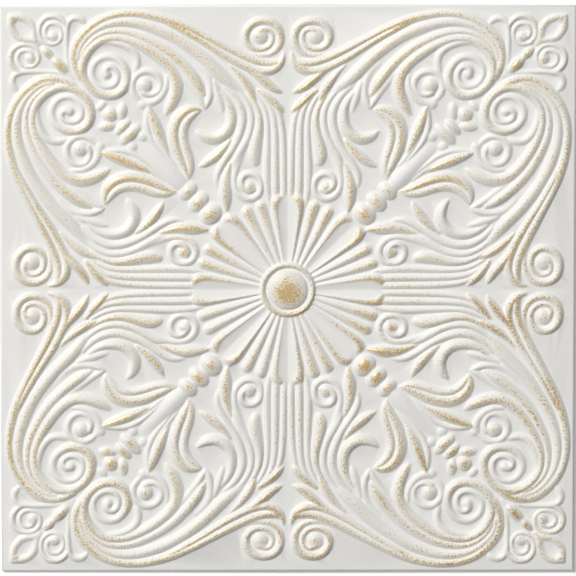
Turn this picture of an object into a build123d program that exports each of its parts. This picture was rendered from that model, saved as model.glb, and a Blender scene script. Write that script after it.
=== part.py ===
from build123d import *

import os
from math import cos, radians, sin, tan

# A moulded polystyrene ceiling tile: one square foam panel with a rosette and scroll relief.
# Millimetres. The back lies on z = 0 and the relief rises along +Z.
# The relief repeats by mirror about the diagonals and the middle lines, so only the eighth
# between +X and the diagonal is drawn, and the rest is mirrored from it.

# Tile blank
tile_size = 500.0
ground_thickness = 5.0
edge_bevel_width = 1.3
edge_bevel_height = 2.5
corner_cut = 1.2

# The scroll pattern is drawn out to this far from the middle and fitted to the blank
drawn_reach = 247.0
relief_margin = 3.0
spread = (tile_size / 2 - relief_margin) / drawn_reach

# How far each raised form reaches into the ground below it
seat_depth = 1.0
seat_level = ground_thickness - seat_depth

# Centre boss and the flat-topped ring round it; every height of the relief is over the ground
boss_radius = 17.5
boss_height = 6.5
boss_foot_height = 0.8
ring_inner_radius = 19.0
ring_width = 5.2
ring_height = 4.0
ring_top_width = 2.0

# Rosette: pairs of narrow flutes between wide petals with a valley along the middle
petal_gap = 0.4
petal_start_radius = ring_inner_radius + ring_width + petal_gap
narrow_petal_angles = (17.4, 27.2)
narrow_petal_end_radius = 81.5
narrow_petal_nose = 4.0
narrow_petal_half_angle = 3.86
narrow_petal_height = 3.6
wide_petal_angles = (0.0, 45.0)
wide_petal_end_radius = 84.0
wide_petal_lip = 7.0
wide_petal_half_angle = 12.0
wide_petal_crest_angle = 8.6
wide_petal_height = 4.0
wide_petal_valley_share = 0.3

# Bud behind the beads
bud_half_width = 8.4
bud_height = 3.4

# Share of the height and of the half width at the shoulders of a rounded form
shoulder = cos(radians(45))

# Two corners nearer than this are the same place
same_place = 0.001

# How fast a volute closes in, and the most pieces that one run of a ridge has
volute_closing = 1.3
longest_run = 6

# Beads: slices along each one, and how far round its ellipse the end slices lie, in degrees
bead_pieces = 3
bead_end_angle = 70.0


def along(values, share):
    """Value at a share of the length, going evenly from each listed value to the next."""
    place = share * (len(values) - 1)
    first = min(int(place), len(values) - 2)
    return values[first] + (values[first + 1] - values[first]) * (place - first)


def rounded(half_width, height):
    """Section with a rounded back, kept to four flats so that the tile stays light."""
    return (
        (-half_width, 0),
        (-half_width * shoulder, height * shoulder),
        (0, height),
        (half_width * shoulder, height * shoulder),
        (half_width, 0),
    )


def flat(*corners):
    """Flat face with these corners, which run anticlockwise as seen from outside."""
    return Face(Wire.make_polygon(corners))


def skin(slices):
    """Solid through slices with like corners, with a flat face between the same side of each two."""
    faces = [flat(*slices[0]), flat(*reversed(slices[-1]))]
    for near, far in zip(slices, slices[1:]):
        for number, corner in enumerate(near):
            faces.append(flat(near[number - 1], far[number - 1], far[number], corner))
    return Solid(Shell(faces))


def seated(corners):
    """Slice whose two feet are carried down into the ground."""
    depth = Vector(0, 0, seat_depth)
    return [corners[0] - depth, *corners, corners[-1] - depth]


def straight_form(places, heading, shares, section):
    """Solid along a straight line; its slices are one section, each at its own share of full size."""
    leftward = Vector(-heading.Y, heading.X)
    return skin(
        [
            seated(
                [
                    place + leftward * across * share + Vector(0, 0, ground_thickness + rise * share)
                    for across, rise in section
                ]
            )
            for place, share in zip(places, shares)
        ]
    )


def foot_line(crests, leftward, start_width):
    """Feet of a ridge on one side: each flank goes on flat from the foot before it to the ground."""
    down = [Vector(crest.X, crest.Y, ground_thickness) for crest in crests]
    feet = [down[0] + leftward[0] * start_width]
    for crest, next_crest, below, sideways in zip(crests, crests[1:], down[1:], leftward[1:]):
        square = (next_crest - crest).cross(feet[-1] - crest)
        feet.append(below + sideways * (square.dot(crest - below) / square.dot(sideways)))
    return feet


def ridge(places, half_widths, height, lean=0.0):
    """Sharp-crested ridge along a bent line of places; lean moves width to the right.

    Each slice stands on the bisector of its bend, as the joints of a mitred moulding do, and the
    crest's height keeps one share of the width, so that the flanks are flat from slice to slice.
    A long ridge is made in runs, so that a volute's inner turn may touch its outer one.
    """
    chords = [(end - start).normalized() for start, end in zip(places, places[1:])]
    headings = [before + after for before, after in zip(chords[:1] + chords, chords + chords[-1:])]
    leftward = [Vector(-heading.Y, heading.X).normalized() for heading in headings]
    crests = []
    for number, place in enumerate(places):
        share = along(half_widths, number / (len(places) - 1)) / max(half_widths)
        crests.append(place + Vector(0, 0, ground_thickness + height * share))
    start_width = half_widths[0] * spread
    right_feet = foot_line(crests, leftward, -start_width * (1 + lean))
    left_feet = foot_line(crests, leftward, start_width * (1 - lean))
    slices = [seated(corners) for corners in zip(right_feet, crests, left_feet)]
    return [
        skin(slices[start : start + longest_run + 1])
        for start in range(0, len(slices) - 1, longest_run)
    ]


def drawn(points):
    """Places of drawn points, fitted to the blank."""
    return [Vector(x * spread, y * spread) for x, y in points]


def smooth(points, pieces):
    """Even places along a smooth curve through drawn points."""
    with BuildLine() as path:
        Spline(*drawn(points))
    return [path.line @ (number / pieces) for number in range(pieces + 1)]


def volute_points(centre, start_angle, turn, start_radius, end_radius, pieces):
    """Points of a volute that closes in; a positive turn runs anticlockwise."""
    points = []
    for number in range(pieces + 1):
        share = number / pieces
        angle = radians(start_angle + turn * share)
        radius = start_radius + (end_radius - start_radius) * share**volute_closing
        points.append((centre[0] + radius * cos(angle), centre[1] + radius * sin(angle)))
    return tuple(points)


def strand(points, pieces, half_widths, height, lean=0.0):
    """Ridge along a smooth curve through a few drawn points."""
    return ridge(smooth(points, pieces), half_widths, height, lean)


def bead(x, y, angle, half_length, half_width, height):
    """Oval bead: rounded slices that swell and shrink as an ellipse does."""
    heading = Vector(cos(radians(angle)), sin(radians(angle)))
    places = []
    shares = []
    for number in range(bead_pieces + 1):
        slice_angle = radians(bead_end_angle * (2 * number / bead_pieces - 1))
        places.append((Vector(x, y) + heading * half_length * sin(slice_angle)) * spread)
        shares.append(cos(slice_angle))
    return straight_form(places, heading, shares, rounded(half_width * spread, height))


relief = []

# Beads on the diagonal and in the scrolls: place, angle of the long axis, half length,
# half width and height
for bead_sizes in (
    (66.8, 66.8, 135, 10.8, 9.2, 5.2),
    (77.2, 77.2, 135, 10.4, 7.4, 4.8),
    (86.6, 86.6, 135, 9.4, 6.9, 4.4),
    (136.6, 136.6, 135, 12.0, 5.6, 3.9),
    (143.4, 143.4, 135, 9.2, 4.3, 3.9),
    (153.9, 153.9, 135, 6.9, 6.9, 3.9),
    (156.8, 143.4, -6, 8.2, 4.5, 3.0),
    (197.6, 197.6, 45, 10.8, 5.8, 4.5),
    (207.6, 207.6, 45, 7.2, 5.4, 3.6),
    (179.6, 124.0, 0, 7.2, 6.9, 3.9),
    (222.6, 24.2, 20, 7.6, 7.2, 3.2),
):
    relief.append(bead(*bead_sizes))

# Bud behind the beads
relief.append(
    straight_form(
        drawn(((90.5, 90.5), (97, 97), (109, 109), (125, 125))),
        Vector(1, 1).normalized(),
        (0.54, 1, 0.82, 0.3),
        rounded(bud_half_width * spread, bud_height),
    )
)

# Three strands that run out beside the middle line, and the club above them
relief += strand(
    ((83, 3.1), (130, 4.0), (150, 6.2), (166, 16)),
    pieces=3,
    half_widths=(3.2, 3.4, 3.4, 3.2, 1.7),
    height=2.7,
)
relief += strand(
    ((81, 10.2), (105, 10.5), (135, 10.8), (156, 13.4), (170, 21.6)),
    pieces=4,
    half_widths=(3.4, 3.8, 3.6, 1.9),
    height=2.9,
)
relief += strand(
    ((76, 15.6), (92, 18.1), (112, 18.2), (138, 17.2), (156, 19.2), (170, 26)),
    pieces=3,
    half_widths=(2.0, 3.7, 3.6, 3.2, 1.8),
    height=2.4,
)
relief += strand(
    ((112.5, 28), (119, 29.4), (134, 27), (149, 24.3), (162, 27.6), (171, 33.2)),
    pieces=4,
    half_widths=(4.0, 5.7, 4.6, 3.2, 1.8),
    height=3.8,
    lean=0.14,
)

# Leaf strands that sweep from the rosette under the stem
relief += strand(
    ((106, 46.4), (116, 44.3), (128, 37.6), (144, 31.6), (160, 32.8), (174, 42)),
    pieces=4,
    half_widths=(2.2, 4.0, 3.8, 3.4, 3.2, 2.0),
    height=2.6,
)
relief += strand(
    ((91, 60.8), (101, 61), (117, 52.7), (131, 44.2), (149, 38.9), (164, 42.4), (177, 53.4)),
    pieces=5,
    half_widths=(2.0, 3.4, 3.6, 4.0, 3.8, 2.0),
    height=2.8,
)
relief += strand(
    ((138.6, 77.4), (134.6, 70), (134.2, 61), (140.6, 51.9), (154, 48.7), (171, 55.6)),
    pieces=6,
    half_widths=(1.6, 5.2, 5.4, 5.0, 4.4, 2.4),
    height=4.0,
    lean=0.12,
)

# Loose leaves: one beside the rosette, one above the strands, three at the foot of the stem
relief += strand(
    ((69, 52.6), (80, 54.3), (94, 54.6), (110, 50)),
    pieces=4,
    half_widths=(1.4, 5.2, 5.6, 3.8, 1.5),
    height=4.2,
    lean=0.12,
)
relief += strand(
    ((108.4, 76), (115.6, 64.6), (130.4, 50.6)),
    pieces=3,
    half_widths=(1.2, 4.6, 4.2, 1.8),
    height=3.9,
)
relief += strand(
    ((156.8, 4.4), (165.6, 13.2), (174.6, 24.4)),
    pieces=3,
    half_widths=(1.4, 3.8, 3.6, 1.8),
    height=4.1,
)
relief += strand(
    ((173.9, 6.2), (182, 18.8), (193.6, 34.2)),
    pieces=3,
    half_widths=(1.6, 4.2, 3.6, 2.0),
    height=4.4,
)
relief += strand(
    ((164.8, 27.9), (179, 34.2), (196.4, 49.2)),
    pieces=3,
    half_widths=(1.4, 3.8, 3.4, 1.5),
    height=3.6,
)

# S-shaped stem: two ridges side by side, the outer of which runs on round the pattern
relief += strand(
    ((206.6, 3.4), (197, 8.2), (191.9, 20), (195.6, 35.2), (207.4, 57.2), (233.4, 102)),
    pieces=6,
    half_widths=(1.6, 4.0, 3.7, 3.5, 3.2, 3.2),
    height=3.6,
)
relief += strand(
    (
        (200.5, 6.4),
        (199.4, 22),
        (208.6, 46),
        (226, 79),
        (238.6, 109),
        (242.7, 136),
        (238, 159.6),
        (226.6, 175.2),
        (208, 185.2),
        (187, 179.4),
    ),
    pieces=11,
    half_widths=(2.6, 3.7, 3.9, 3.7, 4.2, 4.0, 4.0, 4.7, 4.3, 3.8),
    height=3.4,
)

# Strands inside the stem, the last of which rolls up into the big volute
relief += strand(
    ((175.4, 42.4), (190, 59.4), (209.4, 80), (225.2, 104), (235.2, 147), (228, 166.4), (211.6, 180.2)),
    pieces=6,
    half_widths=(2.4, 6.0, 5.6, 5.4, 5.1, 4.5, 3.2),
    height=3.6,
)
relief += strand(
    ((172, 72.8), (187, 82.2), (205, 99), (218, 118.6), (226, 140), (225.6, 158.4), (211, 176.2)),
    pieces=5,
    half_widths=(2.0, 5.2, 4.9, 4.4, 3.7, 3.4, 3.2),
    height=3.8,
)
scroll = smooth(
    (
        (155, 105.4),
        (164, 100.8),
        (183, 97.2),
        (202.4, 109),
        (216.4, 131.4),
        (221.2, 152.6),
        (212.4, 170.6),
        (198, 178),
        (183.4, 175.2),
        (173.4, 165),
    ),
    pieces=10,
)
volute = drawn(volute_points((189.5, 156), 180, 520, 18.7, 5.6, pieces=10))
relief += ridge(
    scroll + volute,
    half_widths=(1.8, 5.6, 5.4, 4.6, 4.6, 4.6, 4.4, 4.2, 3.6, 3.4, 3.4),
    height=4.2,
)

# Strand between the scroll and the medium volute
relief += strand(
    ((192.6, 131.6), (202, 130.2), (211.6, 136), (216.8, 148), (217.4, 155)),
    pieces=3,
    half_widths=(2.2, 3.5, 3.7, 3.6, 2.8),
    height=2.7,
)

# Calyx leaf with two crests, and the inner leaf beside the bud
relief += strand(
    ((98, 86.2), (113, 91.6), (134, 98.2), (150.6, 94), (158.2, 84), (158.3, 76)),
    pieces=6,
    half_widths=(1.8, 3.9, 4.9, 5.2, 4.4, 1.4),
    height=3.8,
    lean=-0.18,
)
relief += strand(
    ((99, 85.6), (111, 84.8), (130, 90), (146, 89), (157.2, 76.6)),
    pieces=5,
    half_widths=(1.8, 4.0, 4.1, 4.0, 1.8),
    height=3.2,
    lean=0.14,
)
relief += strand(
    ((119, 103.4), (137, 111.8), (150, 117), (162, 121.2)),
    pieces=3,
    half_widths=(1.6, 4.2, 5.0, 3.8, 1.6),
    height=4.2,
)

# Small volute beside the rosette, with the tail that comes in from the leaf strands
relief += ridge(
    drawn(((118, 40.2), (107, 44.4)) + volute_points((91, 34), 75, 290, 12.8, 10.6, pieces=8)),
    half_widths=(2.2, 3.2, 3.4, 3.2, 3.2),
    height=2.5,
)

# Volute in the middle of the side
relief += ridge(
    drawn(volute_points((223, 22), 172, 540, 17.4, 5.6, pieces=11)),
    half_widths=(1.8, 3.4, 4.2, 3.8, 3.0, 2.6, 2.8),
    height=3.7,
)

# Medium volute round its bead
relief += ridge(
    drawn(volute_points((180.5, 121.8), 152, -330, 14.4, 9.0, pieces=7)),
    half_widths=(2.0, 3.1, 3.3, 3.2, 2.9, 3.0),
    height=2.4,
)

# Corner volute on its stalk with a hook beside it, and the almond ring in the corner
relief += ridge(
    drawn(volute_points((226, 204), -68, 520, 14.6, 5.4, pieces=10)),
    half_widths=(2.8, 2.9, 2.4, 2.3, 2.3, 2.3, 3.0),
    height=2.6,
)
relief += strand(
    ((187, 187), (203, 190.8), (220, 191.6), (231.4, 190.8)),
    pieces=2,
    half_widths=(1.0, 1.8, 3.0),
    height=2.6,
)
relief += strand(
    ((231.4, 190.8), (238, 185.2), (236.6, 177.6)),
    pieces=2,
    half_widths=(2.8, 3.2, 2.2),
    height=2.5,
)
relief += strand(
    ((217.4, 217.4), (226.4, 220.8), (235.6, 227.8), (238.6, 238.6)),
    pieces=3,
    half_widths=(2.4, 3.0, 3.0, 2.8),
    height=3.0,
)

# Rosette: narrow flutes that swell evenly from the middle, each with a short bevelled nose
nose_start = narrow_petal_end_radius - narrow_petal_nose
nose_half_width = nose_start * tan(radians(narrow_petal_half_angle))
for petal_angle in narrow_petal_angles:
    outward = Vector(cos(radians(petal_angle)), sin(radians(petal_angle)))
    relief.append(
        straight_form(
            [outward * radius for radius in (petal_start_radius, nose_start, narrow_petal_end_radius)],
            outward,
            (petal_start_radius / nose_start, 1, shoulder),
            rounded(nose_half_width, narrow_petal_height),
        )
    )

# Rosette: wide petals on the middle line and the diagonal, each with a slant that cuts its end
wide_petal_crest_radius = wide_petal_end_radius - wide_petal_lip
wide_petal_half_width = wide_petal_crest_radius * tan(radians(wide_petal_half_angle))
wide_petal_crest_offset = wide_petal_crest_radius * tan(radians(wide_petal_crest_angle))
for petal_angle in wide_petal_angles:
    outward = Vector(cos(radians(petal_angle)), sin(radians(petal_angle)))
    radii = (petal_start_radius, wide_petal_end_radius + wide_petal_lip)
    with BuildPart() as wide_petal:
        add(
            straight_form(
                [outward * radius for radius in radii],
                outward,
                [radius / wide_petal_crest_radius for radius in radii],
                (
                    (-wide_petal_half_width, 0),
                    (-wide_petal_crest_offset, wide_petal_height),
                    (0, wide_petal_height * wide_petal_valley_share),
                    (wide_petal_crest_offset, wide_petal_height),
                    (wide_petal_half_width, 0),
                ),
            )
        )
        end_foot = outward * wide_petal_end_radius + Vector(0, 0, ground_thickness)
        end_slant = outward * wide_petal_height + Vector(0, 0, wide_petal_lip)
        split(bisect_by=Plane(end_foot, z_dir=end_slant), keep=Keep.BOTTOM)
    relief.append(wide_petal.part)

# Centre boss and ring, turned about the tile's axis
with BuildPart() as centre:
    with BuildSketch(Plane.XZ):
        boss_foot = ground_thickness + boss_foot_height
        boss_top = ground_thickness + boss_height
        boss_rise = boss_top - boss_foot
        with BuildLine():
            Polyline((boss_radius, boss_foot), (boss_radius, seat_level), (0, seat_level), (0, boss_top))
            RadiusArc(
                (0, boss_top),
                (boss_radius, boss_foot),
                (boss_radius**2 + boss_rise**2) / (2 * boss_rise),
            )
        make_face()
    with BuildSketch(Plane.XZ):
        ring_outer_radius = ring_inner_radius + ring_width
        ring_top = ground_thickness + ring_height
        ring_flank = (ring_width - ring_top_width) / 2
        with BuildLine():
            Polyline(
                (ring_inner_radius, seat_level),
                (ring_inner_radius, ground_thickness),
                (ring_inner_radius + ring_flank, ring_top),
                (ring_outer_radius - ring_flank, ring_top),
                (ring_outer_radius, ground_thickness),
                (ring_outer_radius, seat_level),
                close=True,
            )
        make_face()
    revolve(axis=Axis.Z)

middle_plane = Plane((0, 0, 0), x_dir=(1, 0, 0), z_dir=(0, 1, 0))
diagonal_plane = Plane((0, 0, 0), x_dir=(0, 0, 1), z_dir=(1, -1, 0))

# One eighth of the tile: the blank with its bevelled edge, cut to size, with the relief on it
with BuildPart() as eighth:
    with BuildSketch() as blank:
        Rectangle(tile_size, tile_size)
        chamfer(blank.vertices(), length=corner_cut)
    extrude(amount=ground_thickness)
    chamfer(
        eighth.faces().sort_by(Axis.Z)[-1].edges(),
        length=edge_bevel_height,
        length2=edge_bevel_width,
    )
    split(bisect_by=middle_plane, keep=Keep.TOP)
    split(bisect_by=diagonal_plane, keep=Keep.TOP)
    add(relief)
    add(centre.part)
    split(bisect_by=middle_plane, keep=Keep.TOP)
    split(bisect_by=diagonal_plane, keep=Keep.TOP)


def lies_on(face, plane):
    """Whether a flat face lies on a plane: then it is a cut face of the eighth."""
    return all(abs(plane.to_local_coords(corner.center()).Z) < same_place for corner in face.vertices())


# The tile's skin is the eighth's outer faces and their mirror images, sewn into one solid.
# Fusing eight solids face to face would give the same shape and takes far longer.
outer_faces = [
    face
    for face in eighth.faces()
    if not lies_on(face, middle_plane) and not lies_on(face, diagonal_plane)
]
for mirror_plane in (diagonal_plane, Plane.XZ, Plane.YZ):
    outer_faces += [face.mirror(mirror_plane) for face in outer_faces]

tile = Solid(Shell(outer_faces))
tile.label = "ceiling_tile"
os.makedirs("parts", exist_ok=True)
export_step(tile, "parts/ceiling_tile.step")
print("volume", round(tile.volume), "faces", len(tile.faces()), "valid", tile.is_valid)
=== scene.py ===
# %% [markdown]
# # A moulded polystyrene ceiling tile, white with gold on its crests
#
# Tiles like this are moulded from foam beads in a carved metal mould, then painted white, and
# a nearly dry brush of gold is dragged over the highest parts. This lesson builds the tile in
# three steps: the carved pattern as a field of heights, a light mesh that follows that field,
# and a painted finish that knows which parts are crests.
#
# The pattern repeats eight times round the middle, so only the eighth between the +X axis and
# the diagonal is drawn. Sizes are in millimetres until the mesh is made, because that is how
# a mould maker would draw them.

# %% The frame
from math import radians

import bpy
import numpy as np
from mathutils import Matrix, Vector


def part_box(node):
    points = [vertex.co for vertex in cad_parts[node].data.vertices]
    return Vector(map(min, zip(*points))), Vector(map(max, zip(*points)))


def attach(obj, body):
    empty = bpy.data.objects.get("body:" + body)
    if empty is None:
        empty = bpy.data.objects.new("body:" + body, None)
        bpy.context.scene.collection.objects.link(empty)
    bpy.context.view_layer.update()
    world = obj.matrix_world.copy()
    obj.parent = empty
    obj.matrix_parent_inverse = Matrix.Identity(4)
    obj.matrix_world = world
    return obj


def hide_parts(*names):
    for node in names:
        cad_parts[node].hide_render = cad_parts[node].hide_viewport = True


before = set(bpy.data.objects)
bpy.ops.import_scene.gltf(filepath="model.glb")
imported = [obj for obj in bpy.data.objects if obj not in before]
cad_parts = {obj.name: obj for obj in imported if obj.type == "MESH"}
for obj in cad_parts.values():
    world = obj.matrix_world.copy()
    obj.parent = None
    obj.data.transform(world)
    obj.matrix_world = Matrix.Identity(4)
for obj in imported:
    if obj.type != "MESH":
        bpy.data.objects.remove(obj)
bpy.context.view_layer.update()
NODE = "ceiling_tile"
MM = 0.001
tile_low, tile_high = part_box(NODE)
HALF_TILE = (tile_high.x - tile_low.x) / 2 / MM
RELIEF_TOP = tile_high.z / MM
print("tile half width", HALF_TILE, "mm, relief top", RELIEF_TOP, "mm")

# %% [markdown]
# ## Drawing the relief
#
# Every raised form of the pattern is a stroke: a line that the carver's gouge would follow,
# with a height and a width on either side that swell and fade along it. A stroke is listed as
# rows of x, y, height, left half width and right half width. Between the rows it runs on a
# smooth curve, as a bent spline would. The number before the rows is how much gold the brush
# leaves on the stroke's crest.

# %% Strokes beside the middle line
strokes = []


def stroke(gold, *rows):
    """Adds one raised line of the pattern to the drawing."""
    strokes.append((gold, np.array(rows, float)))


stroke(.48, (83, 3.0, 1.6, 3.2, 3.2), (90, 3.1, 2.5, 3.4, 3.4), (105, 3.4, 2.7, 3.3, 3.6),
       (120, 3.7, 2.7, 3.3, 3.8), (130, 4.0, 2.7, 3.2, 3.4), (140, 4.7, 2.6, 3.2, 3.1),
       (150, 6.2, 2.5, 3.1, 2.9), (157, 8.6, 2.3, 2.8, 2.6), (163, 13.0, 1.8, 2.2, 2.2),
       (168, 18.5, 1.2, 1.6, 1.6))
stroke(.48, (80, 10.0, 1.4, 3.4, 3.4), (88, 10.3, 2.7, 3.8, 3.8), (105, 10.5, 2.9, 3.8, 3.9),
       (125, 10.6, 2.9, 3.8, 3.9), (140, 10.9, 2.8, 3.6, 3.7), (150, 11.9, 2.7, 3.4, 3.5),
       (158, 13.8, 2.4, 3.1, 3.1), (165, 17.6, 1.9, 2.6, 2.6), (171, 22.6, 1.2, 1.8, 1.8))
stroke(.41, (74, 15.2, 0.8, 2.0, 2.2), (82, 16.8, 1.7, 2.8, 3.0), (92, 18.1, 2.3, 3.3, 4.0),
       (106, 18.5, 2.5, 3.2, 4.5), (120, 17.9, 2.4, 3.1, 4.0), (135, 17.3, 2.3, 3.0, 3.4),
       (148, 17.6, 2.3, 2.9, 3.0), (157, 19.4, 2.2, 2.6, 2.8), (164, 22.3, 1.9, 2.2, 2.4),
       (171, 26.5, 1.2, 1.6, 1.8))
stroke(.73, (112.5, 28.0, 2.6, 4.2, 4.6), (117, 29.3, 3.6, 5.0, 6.4), (123, 29.2, 3.8, 4.8, 7.0),
       (130, 28.1, 3.7, 4.3, 6.6), (137, 26.1, 3.6, 4.0, 5.6), (144, 24.5, 3.5, 3.7, 4.2),
       (151, 24.3, 3.2, 3.4, 3.4), (158, 26.0, 2.6, 2.8, 3.0), (165, 29.2, 1.9, 2.4, 2.4),
       (171, 33.2, 1.2, 1.8, 1.8))
print(len(strokes), "strokes beside the middle line")

# %% [markdown]
# Longer strands begin as broad leaf tips near the rosette and sweep outward until they slip
# under the stem. They could be cut off at the stem, but each one sinks to nothing beneath it
# instead, as in the mould, so no blunt end shows.

# %% Leaf strands that sweep under the stem
stroke(.41, (106, 46.4, 1.2, 2.0, 3.0), (111, 46.2, 1.9, 2.4, 4.4), (116, 44.3, 2.4, 3.2, 4.8),
       (122, 41.2, 2.6, 3.6, 4.6), (128, 37.6, 2.6, 3.6, 4.3), (134, 34.4, 2.6, 3.6, 3.6),
       (141, 32.2, 2.6, 3.5, 3.3), (149, 31.1, 2.5, 3.4, 3.2), (157, 31.9, 2.3, 3.2, 3.2),
       (164, 34.6, 2.0, 2.9, 2.9), (170, 38.5, 1.6, 2.4, 2.4), (175, 43.0, 1.1, 1.8, 1.8))
stroke(.41, (91, 60.8, 0.9, 2.0, 2.6), (97, 61.6, 1.9, 2.8, 3.2), (103, 60.4, 2.4, 3.2, 3.4),
       (110, 57.0, 2.6, 3.3, 3.5), (117, 52.7, 2.6, 3.3, 3.6), (124, 47.9, 2.7, 3.4, 3.8),
       (131, 44.2, 2.8, 3.6, 4.0), (139, 41.0, 2.8, 3.8, 4.0), (148, 38.9, 2.8, 4.0, 4.0),
       (156, 39.3, 2.7, 4.0, 4.0), (163, 41.8, 2.5, 3.8, 3.6), (169, 45.5, 2.0, 3.2, 3.2),
       (174, 50.0, 1.5, 2.6, 2.6), (178, 54.8, 1.0, 1.8, 1.8))
stroke(.55, (139.2, 78.0, 1.6, 1.2, 1.8), (136.6, 74.6, 2.8, 2.8, 4.2),
       (134.6, 70.0, 3.6, 3.6, 6.0), (133.7, 65.0, 4.0, 4.0, 6.6), (134.6, 60.0, 4.1, 4.4, 6.6),
       (137.4, 54.8, 4.0, 4.8, 6.2), (142, 51.0, 3.8, 4.8, 5.6), (148, 49.0, 3.6, 4.6, 5.2),
       (154.5, 48.7, 3.3, 4.2, 4.8), (161, 50.0, 2.9, 3.6, 4.2), (167, 52.8, 2.3, 3.0, 3.4),
       (173, 57.2, 1.5, 2.2, 2.4))
stroke(.37, (156.5, 56.2, 0.8, 1.5, 1.5), (161, 57.2, 1.8, 3.0, 3.0), (168, 59.2, 2.4, 3.8, 3.8),
       (175, 61.3, 2.2, 3.4, 3.4), (182, 64.0, 1.5, 2.6, 2.6))
print(len(strokes), "strokes with the leaf strands")

# %% [markdown]
# Small leaves fill the gaps. The carver makes such a leaf with one push of the gouge: it starts
# and ends in a point and swells between them, so a few rows are enough to draw it.

# %% Loose leaves
stroke(.95, (69, 52.6, 1.6, 1.4, 1.4), (74, 53.4, 3.0, 3.2, 3.6), (80, 54.3, 4.0, 4.8, 6.0),
       (87, 54.8, 4.3, 5.2, 6.8), (94, 54.6, 3.7, 4.6, 6.2), (101, 53.2, 2.8, 3.4, 5.0),
       (107, 51.2, 1.9, 2.4, 3.2), (111, 49.6, 1.2, 1.6, 1.8))
stroke(.88, (108.2, 76.4, 1.2, 1.2, 1.2), (110.2, 72.4, 2.6, 3.2, 3.0),
       (113.6, 67.4, 3.6, 4.6, 4.2), (118, 61.6, 3.9, 4.8, 4.4), (122.6, 56.8, 3.3, 4.0, 3.8),
       (127, 53.2, 2.5, 3.0, 3.0), (131, 50.2, 1.6, 2.2, 2.2))
stroke(.98, (156.6, 4.2, 1.6, 1.4, 1.4), (159.6, 7.0, 3.4, 3.2, 3.2),
       (163.6, 11.0, 4.1, 3.8, 3.8), (167.6, 15.4, 4.0, 3.6, 3.8), (171.2, 19.8, 3.2, 2.8, 3.2),
       (175, 25.0, 2.0, 1.8, 2.0))
stroke(.98, (173.8, 6.0, 1.6, 1.6, 1.6), (176, 10.4, 3.2, 3.4, 3.4), (179.6, 15.8, 4.1, 4.2, 4.2),
       (184, 21.0, 4.4, 4.2, 4.2), (188, 25.6, 4.2, 3.8, 3.6), (191.5, 30.2, 3.4, 3.0, 2.6),
       (194.5, 36, 2.6, 2.2, 2.0))
stroke(.95, (164.5, 27.8, 1.0, 1.4, 1.4), (170, 29.6, 2.4, 3.0, 3.0), (176, 32.4, 3.4, 3.8, 3.8),
       (182, 36.2, 3.6, 3.9, 3.9), (187.5, 40.4, 3.0, 3.2, 3.2), (193, 45.4, 2.0, 2.2, 2.2),
       (197, 49.8, 1.0, 1.4, 1.4))
print(len(strokes), "strokes with the loose leaves")

# %% [markdown]
# The stem is the longest form of the tile: strands side by side that leave the middle of the
# side, bow outward and bend back inside the corner. Each strand is a stroke of its own, because
# on the tile each has its own crest that catches the light and the gold.

# %% The S-shaped stem
stroke(.88, (207, 3.4, 1.6, 1.4, 1.4), (202, 4.6, 2.8, 2.8, 3.0), (197, 8.2, 3.5, 4.2, 4.2),
       (193.4, 13.6, 3.8, 4.6, 4.0), (191.9, 20.0, 3.8, 4.0, 3.6), (192.8, 27.4, 3.5, 3.6, 3.4),
       (195.6, 35.2, 3.3, 3.6, 3.4), (199, 42.6, 3.2, 3.8, 3.4), (203, 50.0, 3.2, 3.8, 3.4),
       (207.4, 57.2, 3.2, 3.6, 3.2), (212, 64.4, 3.2, 3.4, 3.0), (216.6, 71.4, 3.2, 3.4, 2.8),
       (221.4, 79.4, 3.2, 3.4, 2.8), (226, 87.6, 3.2, 3.6, 3.0), (230.6, 95.8, 3.1, 3.6, 3.0),
       (234, 103.0, 2.6, 3.0, 2.6), (236.8, 110, 1.6, 2.0, 2.0))
stroke(.88, (200.5, 6.4, 2.6, 2.6, 2.6), (198.9, 12.0, 3.3, 3.2, 3.6),
       (198.9, 19.0, 3.4, 3.2, 4.0), (200.7, 27.2, 3.3, 3.2, 4.2), (203.6, 35.0, 3.3, 3.2, 4.6),
       (207, 42.6, 3.3, 3.2, 4.6), (210.6, 50.0, 3.4, 3.2, 4.6), (214.6, 57.4, 3.4, 3.2, 4.4),
       (218.6, 65.0, 3.4, 3.0, 4.2), (222.8, 73.0, 3.4, 3.0, 4.0), (227, 81.0, 3.3, 3.0, 4.0),
       (231.2, 89.6, 3.3, 3.4, 4.0), (235.2, 98.8, 3.3, 4.2, 4.0), (238.6, 109.0, 3.2, 4.8, 4.0),
       (241, 119.0, 3.1, 4.6, 3.8), (242.6, 130.0, 3.0, 4.2, 3.6), (242.7, 140.0, 3.0, 4.0, 3.5),
       (241.2, 150.0, 3.0, 4.0, 3.6), (238, 159.6, 3.0, 4.2, 3.8), (233, 168.0, 3.0, 4.6, 4.2),
       (226.6, 175.2, 3.0, 4.8, 4.6), (219, 181.2, 3.0, 4.8, 4.8), (210.6, 184.8, 3.0, 4.6, 4.4),
       (202, 185.4, 3.1, 4.6, 4.0), (194, 183.2, 3.2, 4.6, 4.0), (187, 179.4, 3.2, 4.4, 3.8))
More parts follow.
